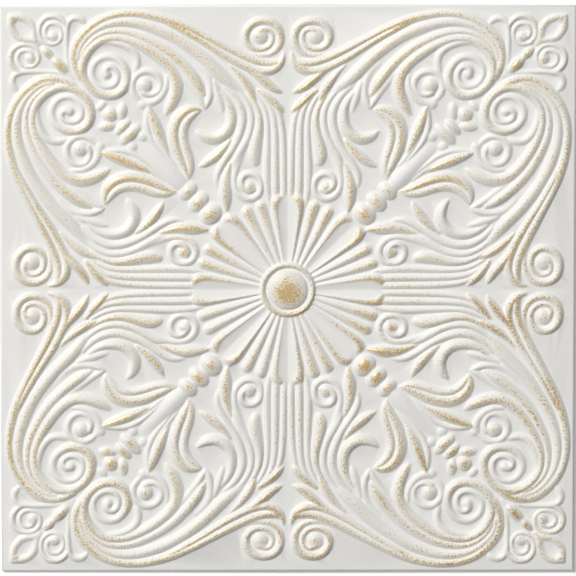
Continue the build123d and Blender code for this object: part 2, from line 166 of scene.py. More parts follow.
stroke(.55, (174.6, 41.4, 1.0, 3.0, 3.0), (179, 46.6, 2.0, 4.4, 4.4), (184, 52.6, 3.0, 5.4, 5.4),
       (190, 59.4, 3.6, 6.0, 6.0), (196.4, 65.6, 3.7, 6.0, 6.0), (203, 72.4, 3.5, 5.6, 5.8),
       (209.4, 80.0, 3.3, 5.6, 5.6), (215.2, 87.6, 3.2, 5.6, 5.4), (220.4, 95.4, 3.1, 5.6, 5.2),
       (225.2, 104.0, 3.1, 5.8, 5.0), (229.6, 114.0, 3.0, 6.0, 4.8),
       (232.8, 124.0, 3.0, 5.4, 4.8), (234.8, 134.0, 3.0, 5.0, 4.6),
       (235.4, 144.0, 3.0, 5.0, 4.2), (234, 153.0, 2.9, 4.8, 3.8), (231, 161.4, 2.9, 4.4, 3.4),
       (226.2, 169.0, 2.8, 4.0, 3.4), (219.6, 175.6, 2.8, 3.6, 3.4),
       (211.6, 180.2, 2.8, 3.2, 3.4), (203, 182.0, 2.8, 3, 3.2))
stroke(.7, (171.6, 72.6, 1.6, 2.4, 2.4), (176, 75.2, 3.0, 4.0, 4.0), (181.4, 78.4, 4.1, 5.2, 5.0),
       (187, 82.2, 4.1, 5.4, 5.2), (193, 87.0, 3.6, 5.0, 5.2), (199, 92.6, 3.2, 4.8, 5.2),
       (205, 99.0, 3.0, 4.8, 5.2), (210.4, 106.0, 2.9, 4.6, 5.0), (215.2, 113.4, 2.8, 4.4, 4.8),
       (219.2, 121.0, 2.7, 4.2, 4.6), (222.8, 129.0, 2.6, 3.6, 4.4),
       (225.6, 138.0, 2.5, 3.2, 4.0), (226.8, 147.0, 2.5, 3.0, 3.8),
       (226.2, 155.6, 2.6, 3.0, 3.4), (223.8, 162.8, 2.7, 3.0, 3.2),
       (219.4, 169.4, 2.7, 3.0, 3.0), (213.2, 174.9, 2.8, 3.0, 3.0),
       (205.6, 178.8, 2.8, 2.8, 2.8))
print(len(strokes), "strokes with the stem")

# %% [markdown]
# The innermost strand rolls up into the big volute. A spiral formula would make it too even, so
# its turns are drawn row by row, as the carver would cut them. The inner turns are a stroke of
# their own, because the brush left less gold in them.

# %% The strand that rolls up into the big volute
stroke(.73, (154.6, 105.6, 1.2, 1.8, 1.8), (158, 103.6, 2.4, 3.6, 3.6),
       (163, 101.2, 3.5, 4.4, 5.6), (169, 98.9, 3.8, 4.6, 6.6), (176, 97.4, 3.8, 4.4, 7.0),
       (183, 97.2, 3.7, 4.4, 7.0), (190, 99.2, 3.6, 4.8, 6.4), (196.6, 103.2, 3.5, 5.2, 5.8),
       (202.4, 109.0, 3.5, 5.4, 5.4), (207.6, 115.8, 3.6, 5.4, 5.2),
       (212.4, 123.2, 3.6, 5.0, 4.8), (216.4, 131.4, 3.4, 4.4, 4.6),
       (219.4, 140.0, 3.3, 3.8, 4.4), (221, 148.6, 3.3, 3.8, 3.6), (220.6, 156.8, 3.4, 4.6, 3.2),
       (217.6, 164.2, 3.6, 5.0, 3.4), (212.4, 170.6, 3.9, 5.0, 3.6),
       (205.6, 175.4, 4.1, 5.0, 3.8), (198, 178.0, 4.1, 4.6, 4.0), (190.4, 178.0, 3.9, 4.4, 4.2),
       (183.4, 175.2, 3.7, 4.4, 4.4), (177.2, 170.2, 3.6, 4.4, 4.4),
       (172.8, 163.6, 3.7, 4.4, 4.6), (170.8, 156.0, 3.8, 4.4, 4.6),
       (171.7, 149.0, 4.0, 4.2, 4.6), (175.4, 143.4, 4.0, 4.2, 4.4), (181, 140.0, 3.9, 4.2, 4.4),
       (187.6, 139.2, 3.7, 4.2, 4.2), (194, 140.8, 3.3, 4.0, 4.0), (199.6, 144.4, 2.9, 3.8, 3.8))
stroke(.3, (194, 140.8, 3.3, 4.0, 4.0), (199.6, 144.4, 2.9, 3.8, 3.8),
       (203.4, 149.4, 2.5, 3.6, 3.6), (204.8, 155.4, 2.2, 3.6, 3.6),
       (203.4, 161.4, 2.1, 3.4, 3.4), (199.6, 166.4, 2.1, 3.2, 3.2),
       (194.2, 169.2, 2.1, 3.2, 3.0), (188.4, 169.4, 2.2, 3.2, 3.0), (183, 166.8, 2.3, 3.4, 3.2),
       (179.4, 162.2, 2.5, 3.4, 3.4), (178.2, 156.8, 2.7, 3.2, 3.4),
       (179.4, 151.6, 2.8, 3.0, 3.4), (183, 148.2, 2.6, 2.8, 3.2), (188, 147.2, 2.5, 2.8, 3.0),
       (193, 148.6, 2.6, 3.0, 3.0), (196, 152.0, 2.9, 3.2, 2.8), (195.6, 155.6, 3.1, 3.2, 3.0),
       (192.6, 157.6, 3.3, 3.8, 3.8), (189.2, 156.8, 3.4, 4.6, 4.6))
stroke(.37, (192.6, 131.6, 1.4, 2.6, 2.6), (196.6, 130.6, 2.1, 3.2, 3.6),
       (202, 130.2, 2.3, 3.4, 3.6), (207.2, 132.0, 2.4, 3.6, 3.6), (211.6, 136.0, 2.6, 3.8, 3.6),
       (214.8, 141.6, 2.7, 3.8, 3.6), (216.8, 148.0, 2.5, 3.6, 3.4),
       (217.4, 154.0, 2.0, 3.0, 2.8), (216.6, 159.0, 1.2, 2.2, 2.2))
stroke(.34, (159.6, 71.6, 1.4, 1.6, 1.6), (163.4, 73.6, 2.3, 2.8, 2.8),
       (168.4, 76.6, 2.2, 3.2, 3.2), (174, 80.4, 2.0, 3.4, 3.4), (180, 85.0, 1.8, 3.4, 3.4),
       (186, 89.6, 1.4, 3.2, 3.2), (192, 94.4, 0.7, 2.6, 2.6))
stroke(.34, (159.6, 71.2, 1.4, 1.6, 1.6), (163.6, 69.4, 2.4, 2.8, 2.8),
       (168.6, 67.6, 2.5, 3.4, 3.2), (174.6, 66.8, 2.2, 3.4, 3.2), (181, 67.2, 1.9, 3.4, 3.2),
       (187, 69.2, 1.5, 3.4, 3.2), (193, 73.4, 1.0, 3.0, 3.0), (198.6, 79.4, 0.5, 2.6, 2.6))
print(len(strokes), "strokes with the big volute")

# %% [markdown]
# Past the beads on the diagonal a calyx opens, with a broad curled leaf on each side, a narrow
# leaf inside it, and a low smooth bud between the two sides. Only the side below the diagonal
# is drawn, because folding the drawing over gives the other. The bud stands on the fold itself.

# %% Calyx leaf, and the inner leaf beside the bud
stroke(.84, (98, 86.2, 1.2, 1.8, 1.8), (103, 87.4, 2.4, 3.0, 3.0), (109, 89.8, 3.2, 4.0, 3.4),
       (116, 92.8, 3.5, 4.8, 3.6), (123.6, 95.8, 3.7, 5.6, 3.8), (131.6, 97.8, 3.8, 6.0, 4.0),
       (139, 98.2, 3.8, 6.2, 4.2), (146, 96.6, 3.8, 6.2, 4.2), (151.8, 93.2, 3.7, 6.0, 4.2),
       (156, 88.6, 3.5, 5.4, 3.8), (158.4, 83.4, 3.1, 4.0, 3.2), (158.8, 78.6, 2.3, 2.4, 2.2),
       (158.2, 75.4, 1.3, 1.2, 1.2))
stroke(.62, (99, 85.6, 1.2, 1.8, 1.8), (104, 84.6, 2.4, 3.0, 3.4), (111, 84.8, 3.0, 3.4, 4.2),
       (118, 86.4, 3.1, 3.4, 4.6), (125.4, 88.8, 3.1, 3.4, 4.6), (132.6, 90.6, 3.1, 3.4, 4.6),
       (139.4, 90.8, 3.2, 3.4, 4.8), (145.6, 89.2, 3.2, 3.4, 4.8), (150.6, 85.8, 3.1, 3.2, 4.2),
       (154.4, 81.2, 2.7, 2.8, 3.4), (157.2, 76.6, 1.6, 1.8, 2.0))
stroke(.95, (119, 103.4, 1.0, 1.6, 1.6), (125, 106.2, 2.4, 2.8, 3.2),
       (131.6, 109.4, 3.5, 4.0, 4.6), (138.6, 112.4, 4.2, 4.6, 5.4),
       (145.6, 115.2, 4.2, 4.6, 5.4), (152.4, 117.8, 3.7, 4.0, 4.6), (158, 119.8, 2.7, 2.8, 3.0),
       (162, 121.2, 1.6, 1.6, 1.6))
stroke(.34, (106, 97.2, 0.8, 1.8, 1.8), (112, 102.6, 1.5, 2.2, 2.2),
       (118.4, 108.2, 1.8, 2.4, 2.4), (125.4, 113.8, 2.0, 2.6, 2.6), (133, 118.6, 2.1, 2.8, 2.8),
       (141, 121.6, 2.2, 2.8, 3.2), (149, 122.4, 2.2, 2.6, 3.2), (156, 121.8, 2.0, 2.2, 2.6),
       (161, 121.4, 1.4, 1.6, 1.6))
stroke(.34, (108, 96.0, 0.8, 1.6, 1.6), (114, 100.8, 1.6, 1.9, 1.9),
       (120.6, 106.0, 1.7, 2.0, 2.0), (127.4, 110.8, 1.6, 2.0, 2.0), (134, 114.8, 1.2, 1.6, 1.6))
print(len(strokes), "strokes with the calyx")

# %% [markdown]
# The smaller volutes are drawn in the same way, from the tail inward. Each one ends beside its
# eye, and the eyes are added below as ovals. Thin strands tie the corner volutes to the stem,
# and a pointed ring stands between the two of them on the diagonal.

# %% Volutes: beside the rosette, in the middle of the side, in the scrolls and in the corner
stroke(.44, (119, 39.8, 1.2, 2.4, 2.4), (112, 42.8, 1.7, 3.0, 3.0), (105, 45.0, 2.0, 3.0, 3.2),
       (98, 46.2, 2.2, 2.8, 3.4), (91, 45.6, 2.3, 2.8, 3.6), (85, 42.8, 2.4, 2.9, 3.8),
       (81, 38.2, 2.5, 3.2, 3.8), (79.8, 32.8, 2.5, 3.2, 3.6), (81.4, 27.6, 2.4, 3.2, 3.4),
       (85.4, 24.0, 2.4, 3.2, 3.2), (91, 22.8, 2.5, 3.2, 3.0), (96.6, 24.0, 2.5, 3.2, 3.0),
       (100.6, 27.8, 2.4, 3.3, 3.0), (102.0, 32.8, 2.4, 3.3, 3.0), (100.8, 37.4, 2.8, 3.4, 3.2),
       (97, 40.2, 3.3, 3.4, 3.4), (92.6, 40.0, 3.6, 3.4, 3.6), (88.8, 37.0, 3.5, 3.2, 3.8),
       (87.2, 33.0, 3.2, 3.0, 3.8), (88.2, 29.8, 2.4, 2.6, 3.0))
stroke(.77, (207.4, 33.0, 0.5, 1.6, 1.6), (205.8, 27.0, 1.2, 2.4, 2.4),
       (205.8, 20.0, 1.7, 2.6, 2.6), (207.8, 13.6, 2.1, 3.0, 2.8), (212.2, 8.8, 2.5, 3.2, 3.2),
       (217.8, 6.2, 2.9, 3.6, 3.4), (224, 5.9, 3.2, 4.0, 3.4), (230, 8.2, 3.5, 4.4, 3.6),
       (234.2, 12.6, 3.6, 4.6, 3.6), (236.2, 18.4, 3.7, 4.6, 3.6), (236.2, 24.6, 3.7, 4.4, 3.6),
       (233.8, 30.4, 3.6, 4.2, 3.6), (229.4, 34.6, 3.5, 3.8, 3.6), (223.8, 36.6, 3.3, 3.6, 3.6),
       (218, 35.6, 3.1, 3.0, 3.4), (213.6, 32.0, 2.9, 2.8, 3.0), (211.4, 27.0, 2.7, 2.8, 2.8),
       (211.4, 21.4, 2.4, 2.6, 2.6), (213.8, 16.4, 2.2, 2.4, 2.4), (218, 13.4, 2.0, 2.4, 2.2),
       (223, 12.8, 2.0, 2.4, 2.2), (227.4, 15.0, 2.2, 2.6, 2.4), (229, 19.0, 2.6, 3.2, 2.6),
       (227.4, 24.4, 3.0, 4, 2.6))
stroke(.34, (163.2, 126.0, 2.0, 4.0, 4.0), (163.6, 121.0, 2.0, 3.8, 3.6),
       (165.4, 115.2, 2.1, 3.8, 3.6), (169.2, 110.2, 2.2, 3.8, 3.4),
       (174.8, 106.6, 2.1, 3.6, 3.2), (181, 104.8, 1.7, 2.8, 2.8), (187, 104.8, 1.0, 2.0, 2.0))
stroke(.41, (167.4, 128.8, 1.2, 2.4, 2.4), (171, 132.2, 1.9, 3.0, 3.0),
       (176, 134.4, 2.1, 3.0, 3.2), (181.8, 134.4, 2.2, 3.0, 3.4), (187, 131.8, 2.3, 3.2, 3.4),
       (190.8, 127.4, 2.4, 3.4, 3.4), (191.8, 121.6, 2.4, 3.4, 3.4),
       (190.2, 115.8, 2.3, 3.2, 3.4), (186.2, 111.4, 2.2, 3.0, 3.2),
       (180.6, 109.6, 2.1, 2.8, 3.0), (175.4, 111.0, 2.1, 2.8, 2.8), (172, 115.0, 2.1, 2.8, 2.8),
       (171.2, 120.0, 2.3, 3.0, 2.8), (173.2, 124.6, 2.9, 3.4, 3.2))
stroke(.48, (231.4, 190.8, 2.8, 2.6, 2.6), (236.2, 194.2, 2.7, 2.8, 2.6),
       (239.6, 199.0, 2.6, 3.2, 2.6), (240.4, 204.4, 2.5, 3.4, 2.5),
       (238.8, 209.4, 2.3, 3.2, 2.5), (235.2, 213.0, 2.2, 2.8, 2.4),
       (230.4, 214.9, 2.1, 2.5, 2.4), (225, 215.1, 2.0, 2.3, 2.4), (220.2, 213.2, 1.9, 2.2, 2.4),
       (216.8, 209.6, 1.9, 2.2, 2.3), (215.5, 205.0, 1.9, 2.2, 2.3),
       (216.4, 200.4, 1.9, 2.2, 2.3), (219.4, 197.0, 1.9, 2.2, 2.3),
       (223.6, 195.4, 1.9, 2.2, 2.2), (228.2, 195.8, 1.8, 2.2, 2.2), (232, 198.4, 1.8, 2.2, 2.2),
       (233.8, 202.4, 1.8, 2.2, 2.2), (233, 206.6, 1.8, 2.2, 2.2), (230, 209.4, 1.8, 2.2, 2.2),
       (226, 210.0, 1.9, 2.2, 2.2), (222.6, 208.2, 2.3, 2.6, 2.6), (221.6, 204.6, 2.8, 3.2, 3.4))
stroke(.44, (231.4, 190.8, 2.8, 2.6, 2.6), (235.6, 188.8, 2.5, 3.0, 2.6),
       (238, 185.2, 2.3, 3.4, 3.0), (238.2, 181.0, 2.2, 3.4, 3.2), (236.6, 177.6, 2.0, 3.2, 3.2),
       (234.4, 175.6, 1.3, 2.2, 2.2))
stroke(.37, (186, 186.6, 0.6, 2.0, 2.0), (193, 189.4, 0.9, 2.2, 2.2), (203, 190.8, 1.2, 2.4, 2.4),
       (213, 191.4, 1.5, 2.4, 2.4), (222, 191.5, 1.9, 2.6, 2.6), (228, 191.2, 2.4, 2.8, 2.8),
       (231.4, 190.8, 2.9, 3.0, 3.0))
stroke(.6, (216.4, 216.4, 1.4, 3.2, 3.2), (221, 219.0, 2.2, 3.4, 3.4),
       (226.8, 219.4, 2.2, 3.6, 3.6), (232.6, 221.6, 2.2, 3.6, 3.6),
       (237.0, 226.2, 2.3, 3.6, 3.6), (239.4, 232.0, 2.6, 3.6, 3.4),
       (239.8, 237.0, 2.8, 3.2, 3.0), (240.2, 240.2, 2.4, 2.4, 2.4))
# the bud, which stands on the diagonal
stroke(.1, (90.5, 90.5, 1.8, 4.5, 4.5), (94, 94, 2.9, 7.4, 7.4), (99, 99, 3.4, 8.4, 8.4),
       (105, 105, 3.2, 8.2, 8.2), (111, 111, 2.6, 7.6, 7.6), (117, 117, 1.9, 6.8, 6.8),
       (122, 122, 1.2, 5.8, 5.8), (126, 126, 0.5, 4.4, 4.4))
print(len(strokes), "strokes in all")

# %% [markdown]
# Beads, spindles and the eyes of the volutes are ovals. Each is listed with its place, the
# angle of its long axis, half its length, half its width, its height and its gold.

# %% Beads and eyes
ovals = (
    (66.8, 66.8, 135, 10.8, 9.2, 5.2, 1.15),
    (77.2, 77.2, 135, 10.4, 7.4, 4.8, 1.15),
    (86.6, 86.6, 135, 9.4, 6.9, 4.4, .9),
    (134.6, 125.6, 40, 4.6, 4.4, 1.9, .05),
    (136.6, 136.6, 135, 12.0, 5.6, 3.9, .9),
    (142.9, 142.9, 135, 9.2, 4.3, 3.9, 1.0),
    (156.8, 143.4, -6, 8.2, 4.5, 3.0, .85),
    (153.9, 153.9, 45, 6.9, 6.9, 3.9, 1.0),
    (161.6, 161.6, 135, 5.8, 3.6, 2.3, .2),
    (197.6, 197.6, 45, 10.4, 4.8, 4.5, 1.3),
    (208.0, 208.0, 45, 7.2, 3.9, 3.4, 1.2),
    (222.6, 24.2, 20, 7.6, 7.2, 3.3, .6),
    (89.4, 33.6, 0, 6.2, 5.6, 3.5, 1.0),
    (179.6, 124.0, 0, 7.2, 6.9, 3.9, .7),
    (163.0, 125.4, 0, 4.6, 4.6, 2.1, .05),
    (222.0, 203.0, 60, 5.6, 4.8, 2.8, .8),
    (238.0, 238.0, 45, 4.6, 3.6, 2.9, 1.1),
)
print(len(ovals), "ovals")

# %% [markdown]
# ## From strokes to heights
#
# The quarter of the tile between +X and +Y is laid out as a fine grid, and each form writes
# its height into the cells that it covers. Where two forms overlap, the higher one wins, just
# as the deeper cut wins in a mould. Bending a solid along every curve would be the other way,
# but then the many overlaps would have to be joined one by one. A form's section is a low
# rounded ridge: with q running from 0 on the crest to 1 at the foot, it is 1 - q to a power a
# little under two, and all of that to a power a little under one. The form also writes its
# gold there: a nearly dry brush touches only the upper part of a section.

# %% The grid and the section of a ridge
CELLS_PER_MM = 2.0
CREST_FULLNESS = 0.88
CREST_ROUNDNESS = 1.75
cells = int(round(HALF_TILE * CELLS_PER_MM)) + 1
line = np.linspace(0.0, HALF_TILE, cells)
X, Y = np.meshgrid(line, line)
height = np.zeros_like(X)
gilding = np.zeros_like(X)
print("grid of", cells, "by", cells, "points on a quarter of the tile")


def ridge_section(q):
    """Height share across a ridge, from 1 on the crest to 0 at the foot."""
    return (1 - np.clip(q, 0, 1) ** CREST_ROUNDNESS) ** CREST_FULLNESS


def window(x_low, x_high, y_low, y_high):
    """The grid cells inside a box."""
    first_x, first_y = (max(int(low * CELLS_PER_MM), 0) for low in (x_low, y_low))
    last_x, last_y = (min(int(high * CELLS_PER_MM) + 2, cells) for high in (x_high, y_high))
    return slice(first_y, last_y), slice(first_x, last_x)


BRUSH_LIMIT = 0.3
BRUSH_FALL = 1.3


def raise_form(place, form, section, gold):
    """Writes a form's height and gold where it stands above what is there."""
    above = form > height[place]
    height[place][above] = form[above]
    reached = np.clip((section - BRUSH_LIMIT) / (1 - BRUSH_LIMIT), 0, 1)
    gilding[place][above] = (gold * reached**BRUSH_FALL)[above]


# %% Strokes into the grid
STEP_ALONG = 0.8


def smooth_rows(rows):
    """Rows of a stroke along a smooth curve through its drawn rows, one every STEP_ALONG mm."""
    ends = np.vstack([2 * rows[0] - rows[1], rows, 2 * rows[-1] - rows[-2]])
    drawn = []
    for a, b, c, d in zip(ends[:-3], ends[1:-2], ends[2:-1], ends[3:]):
        gaps = [max(np.hypot(*(q - p)[:2]), 1e-6) ** 0.5 for p, q in ((a, b), (b, c), (c, d))]
        t0, t1, t2, t3 = np.concatenate([[0.0], np.cumsum(gaps)])
        count = max(2, int(np.ceil(gaps[1] ** 2 / STEP_ALONG)))
        t = np.linspace(t1, t2, count, endpoint=False)[:, None]
        ab = (t1 - t) / (t1 - t0) * a + (t - t0) / (t1 - t0) * b
        bc = (t2 - t) / (t2 - t1) * b + (t - t1) / (t2 - t1) * c
        cd = (t3 - t) / (t3 - t2) * c + (t - t2) / (t3 - t2) * d
        abc = (t2 - t) / (t2 - t0) * ab + (t - t0) / (t2 - t0) * bc
        bcd = (t3 - t) / (t3 - t1) * bc + (t - t1) / (t3 - t1) * cd
        drawn.append((t2 - t) / (t2 - t1) * abc + (t - t1) / (t2 - t1) * bcd)
    return np.vstack(drawn + [rows[-1:]])


def draw_stroke(gold, rows):
    """Raises one stroke out of the grid, piece by piece along its curve."""
    along = smooth_rows(rows)
    reach = rows[:, 3:5].max() + 1
    whole = window(along[:, 0].min() - reach, along[:, 0].max() + reach,
                   along[:, 1].min() - reach, along[:, 1].max() + reach)
    form, share_of_crest = np.zeros_like(X), np.zeros_like(X)
    for a, b in zip(along[:-1], along[1:]):
        near = window(min(a[0], b[0]) - reach, max(a[0], b[0]) + reach,
                      min(a[1], b[1]) - reach, max(a[1], b[1]) + reach)
        run = b[:2] - a[:2]
        off_x, off_y = X[near] - a[0], Y[near] - a[1]
        share = np.clip((off_x * run[0] + off_y * run[1]) / max(run @ run, 1e-9), 0, 1)
        off_x, off_y = off_x - share * run[0], off_y - share * run[1]
        on_left = run[0] * off_y - run[1] * off_x > 0
        crest, left, right = (a[k] + share * (b[k] - a[k]) for k in (2, 3, 4))
        half_width = np.where(on_left, left, right)
        section = ridge_section(np.hypot(off_x, off_y) / half_width)
        higher = crest * section > form[near]
        form[near][higher] = (crest * section)[higher]
        share_of_crest[near][higher] = section[higher]
    raise_form(whole, form[whole], share_of_crest[whole], gold)


for gold, rows in strokes:
    draw_stroke(gold, rows)
print("strokes raised to", round(height.max(), 2), "mm")

# %% Beads into the grid
DOME_SHARE = 0.35
for x, y, angle, half_long, half_short, top, gold in ovals:
    reach = half_long + 1
    place = window(x - reach, x + reach, y - reach, y + reach)
    across, up = np.cos(radians(angle)), np.sin(radians(angle))
    u = ((X[place] - x) * across + (Y[place] - y) * up) / half_long
    v = ((Y[place] - y) * across - (X[place] - x) * up) / half_short
    q = np.clip(np.hypot(u, v), 0, 1)
    section = DOME_SHARE * np.sqrt(1 - q**2) + (1 - DOME_SHARE) * ridge_section(q)
    raise_form(place, top * section, section, gold)
print("with the ovals", round(height.max(), 2), "mm")

# %% [markdown]
# ## The rosette
#
# Round the centre boss lies a ring, and from it run eight wide petals, and between them pairs
# of narrow flutes with round tips. All of them are straight and widen outward, so the flutes
# and the shallow valleys of the wide petals are worked out from their angle and their distance
# along the petal. The two crests of a wide petal curl in at its end, so they are strokes.

# %% Petals and flutes
radius = np.hypot(X, Y)
bearing = np.arctan2(Y, X)
WIDE_ANGLES = (0.0, 45.0, 90.0)
NARROW_ANGLES = (17.4, 27.2, 62.8, 72.6)
whole_grid = (slice(None), slice(None))
PETAL_START = 18.0
BEYOND_PETAL = 0.6

WIDE_CREST_ANGLE = 8.5
WIDE_END, FALL_BEFORE_END, FALL_LENGTH = 84.0, 5.0, 6.0
WIDE_GOLD, NARROW_GOLD = 0.95, 0.9
VALLEY_HEIGHT, VALLEY_RISE = 0.24, 0.5
for angle in WIDE_ANGLES:
    turn = np.abs(bearing - radians(angle))
    outward, aside = radius * np.cos(turn), radius * np.sin(turn)
    to_crest = aside / (outward * np.tan(radians(WIDE_CREST_ANGLE)) + 1e-6)
    section = VALLEY_HEIGHT + VALLEY_RISE * to_crest
    past_end = np.clip(outward - WIDE_END + FALL_BEFORE_END, 0, None)
    section *= ridge_section(past_end / FALL_LENGTH)
    section[(outward < PETAL_START) | (turn > BEYOND_PETAL) | (to_crest > 1)] = 0
    top = np.interp(outward, [22, 50, 72], [1.8, 3.2, 4.2])
    raise_form(whole_grid, top * section, 0 * section, 0.0)

# along a crest: distance out, angle off the petal's middle, height, inner and outer half width
crest_rows = np.array([
    (23, 8.3, 1.4, 1.1, 1.2), (32, 8.4, 2.2, 1.5, 1.7), (46, 8.5, 3.0, 2.1, 2.4),
    (60, 8.6, 3.7, 3.0, 3.0), (70, 8.7, 4.2, 4.2, 3.3), (76, 8.2, 4.5, 5.2, 3.6),
    (79.0, 7.2, 4.4, 5.4, 4.4), (80.6, 5.9, 3.8, 4.8, 4.2), (81.4, 4.4, 2.8, 3.6, 3.2),
    (81.8, 3.0, 1.6, 2.4, 2.0),
])
for petal_angle, side in ((0, 1), (45, -1)):
    angle = np.radians(petal_angle + side * crest_rows[:, 1])
    inner_width, outer_width = crest_rows[:, 3], crest_rows[:, 4]
    widths = (outer_width, inner_width) if side > 0 else (inner_width, outer_width)
    crest_x, crest_y = crest_rows[:, 0] * np.cos(angle), crest_rows[:, 0] * np.sin(angle)
    draw_stroke(WIDE_GOLD, np.stack([crest_x, crest_y, crest_rows[:, 2], *widths], axis=-1))

NARROW_TIP, NARROW_HALF_WIDTH = 77, 5.2
for angle in NARROW_ANGLES:
    turn = bearing - radians(angle)
    outward, aside = radius * np.cos(turn), np.abs(radius * np.sin(turn))
    half_width = np.interp(outward, [22, 76], [2.1, NARROW_HALF_WIDTH])
    top = np.interp(outward, [22, 40, 74, 82], [1.6, 2.6, 3.6, 3.4])
    past_tip = np.clip(outward - NARROW_TIP, 0, None) / NARROW_HALF_WIDTH
    section = ridge_section(np.hypot(aside / half_width, past_tip))
    section[(outward < PETAL_START) | (np.abs(turn) > BEYOND_PETAL)] = 0
    raise_form(whole_grid, top * section, section, NARROW_GOLD)

# the brush runs out of paint towards the middle of the rosette
gilding *= np.interp(radius, [24, 50, 76], [0.35, 0.6, 1.0])
print("petals up to", round(height[radius < WIDE_END].max(), 2), "mm")

# %% [markdown]
# In the middle a plain ring holds a smooth dome. Both are turned forms, so they depend only on
# the distance from the middle. The brush covered the dome's top and left its foot white.

# %% Ring and boss
GROUND = 5.0
RING_CREST, RING_INSIDE, RING_OUTSIDE, RING_HEIGHT = 22.2, 18.6, 24.4, 4.0
BOSS_RADIUS, BOSS_FOOT = 17.8, 0.6
BOSS_PATCH = 19.0
RING_GOLD, BOSS_GOLD = 0.9, 1.5
BELOW_CAD_TOP = 0.1
boss_height = RELIEF_TOP - GROUND - BELOW_CAD_TOP
across_ring = np.where(radius < RING_CREST, (RING_CREST - radius) / (RING_CREST - RING_INSIDE),
                       (radius - RING_CREST) / (RING_OUTSIDE - RING_CREST))
section = ridge_section(across_ring)
raise_form(whole_grid, RING_HEIGHT * section, section, RING_GOLD)
height[radius < RING_INSIDE] = 0
dome_share = np.sqrt(np.clip(1 - (radius / BOSS_RADIUS) ** 2, 0, 1))
dome = BOSS_FOOT + (boss_height - BOSS_FOOT) * dome_share
dome[radius > BOSS_RADIUS] = 0
patch = 1 - (1 - BRUSH_LIMIT) * (radius / BOSS_PATCH) ** 2
raise_form(whole_grid, dome, patch, BOSS_GOLD)
print("boss", round(dome.max(), 2), "mm above the ground")

# %% [markdown]
# ## Softening the mould
#
# Foam beads don't fill a sharp corner, so every foot and crest of the real tile is a little
# soft. Folding the drawing over the diagonal gives the whole quarter, and a small blur gives
# the softness.

# %% Fold over the diagonal and soften
folded = height.T > height
height = np.where(folded, height.T, height)
gilding = np.where(folded, gilding.T, gilding)
SOFTNESS_MM = 0.38
GOLD_SOFTNESS_MM = 0.5


def soften(field, size_mm):
    """Gaussian blur of a quarter of the tile, mirrored over its inner sides."""
    size = size_mm * CELLS_PER_MM
    reach = int(np.ceil(3 * size))
    weights = np.exp(-0.5 * (np.arange(-reach, reach + 1) / size) ** 2)
    weights /= weights.sum()
    for axis in (0, 1):
        margin = [(reach, reach) if a == axis else (0, 0) for a in (0, 1)]
        padded = np.pad(field, margin, mode="reflect")
        field = sum(
            weight * np.take(padded, range(k, k + cells), axis=axis)
            for k, weight in enumerate(weights)
        )
    return field


soft_height = soften(height, SOFTNESS_MM)
gilding = soften(gilding, GOLD_SOFTNESS_MM)
print("softened relief", round(soft_height.max(), 2), "mm high")

# %% [markdown]
# The rim of the tile is rolled over, so that two tiles meet in a soft groove. A quarter of an
# ellipse gives that roll: it leaves the ground level and reaches the side upright.

# %% Edge of the tile
EDGE_WIDTH = 2.4
EDGE_DROP = 3.0
to_edge = np.minimum(HALF_TILE - X, HALF_TILE - Y)
into_edge = np.clip(1 - to_edge / EDGE_WIDTH, 0, 1)
rolled = EDGE_DROP * (1 - np.sqrt(1 - into_edge**2))
surface = np.minimum(GROUND + soft_height - rolled, RELIEF_TOP)
print("surface from", round(surface.min(), 2), "to", round(surface.max(), 2), "mm")

# %% [markdown]
# ## A light mesh that follows the field
#
# The grid has a quarter of a million cells in each quarter, far more than the flat ground
# needs. Blender's Decimate modifier takes points away where the surface is flat and keeps
# them on the crests and feet. The quarter is reduced once, mirrored to the whole tile, and
# closed with four sides and a flat back.

# %% The quarter as a mesh
FACES_PER_QUARTER = 47000
quarter = bpy.data.meshes.new("quarter")
corners = np.stack([X, Y, surface], axis=-1).reshape(-1, 3)
index = np.arange(cells * cells).reshape(cells, cells)
quads = np.stack([index[:-1, :-1], index[:-1, 1:], index[1:, 1:], index[1:, :-1]], axis=-1)
quads = quads.reshape(-1, 4)
quarter.vertices.add(len(corners))
quarter.vertices.foreach_set("co", corners.ravel())
quarter.loops.add(quads.size)
quarter.loops.foreach_set("vertex_index", quads.ravel())
quarter.polygons.add(len(quads))
quarter.polygons.foreach_set("loop_start", np.arange(0, quads.size, 4))
quarter.update(calc_edges=True)
quarter_object = bpy.data.objects.new("quarter", quarter)
bpy.context.scene.collection.objects.link(quarter_object)
reduce = quarter_object.modifiers.new("reduce", "DECIMATE")
reduce.ratio = FACES_PER_QUARTER / (2 * len(quads))
reduce.use_collapse_triangulate = True
reduced = bpy.data.meshes.new_from_object(
    quarter_object.evaluated_get(bpy.context.evaluated_depsgraph_get())
)
print("quarter reduced from", 2 * len(quads), "to", len(reduced.polygons), "faces")

# %% Mirror it to the whole tile, and weld its seams
points = np.empty(len(reduced.vertices) * 3)
reduced.vertices.foreach_get("co", points)
points = points.reshape(-1, 3)
triangles = np.empty(len(reduced.loops), np.int32)
reduced.loops.foreach_get("vertex_index", triangles)
triangles = triangles.reshape(-1, 3)
SNAP = 0.02
for axis in (0, 1):
    points[np.abs(points[:, axis]) < SNAP, axis] = 0.0
    points[np.abs(points[:, axis] - HALF_TILE) < SNAP, axis] = HALF_TILE
all_points, all_faces, offset = [], [], 0
for flip_x, flip_y in ((1, 1), (-1, 1), (-1, -1), (1, -1)):
    all_points.append(points * (flip_x, flip_y, 1))
    order = triangles if flip_x * flip_y > 0 else triangles[:, ::-1]
    all_faces.append(order + offset)
    offset += len(points)
all_points, all_faces = np.vstack(all_points), np.vstack(all_faces)
WELDS_PER_MM = 1000
keys = np.round(all_points * WELDS_PER_MM).astype(np.int64)
_, first, to_first = np.unique(keys, axis=0, return_index=True, return_inverse=True)
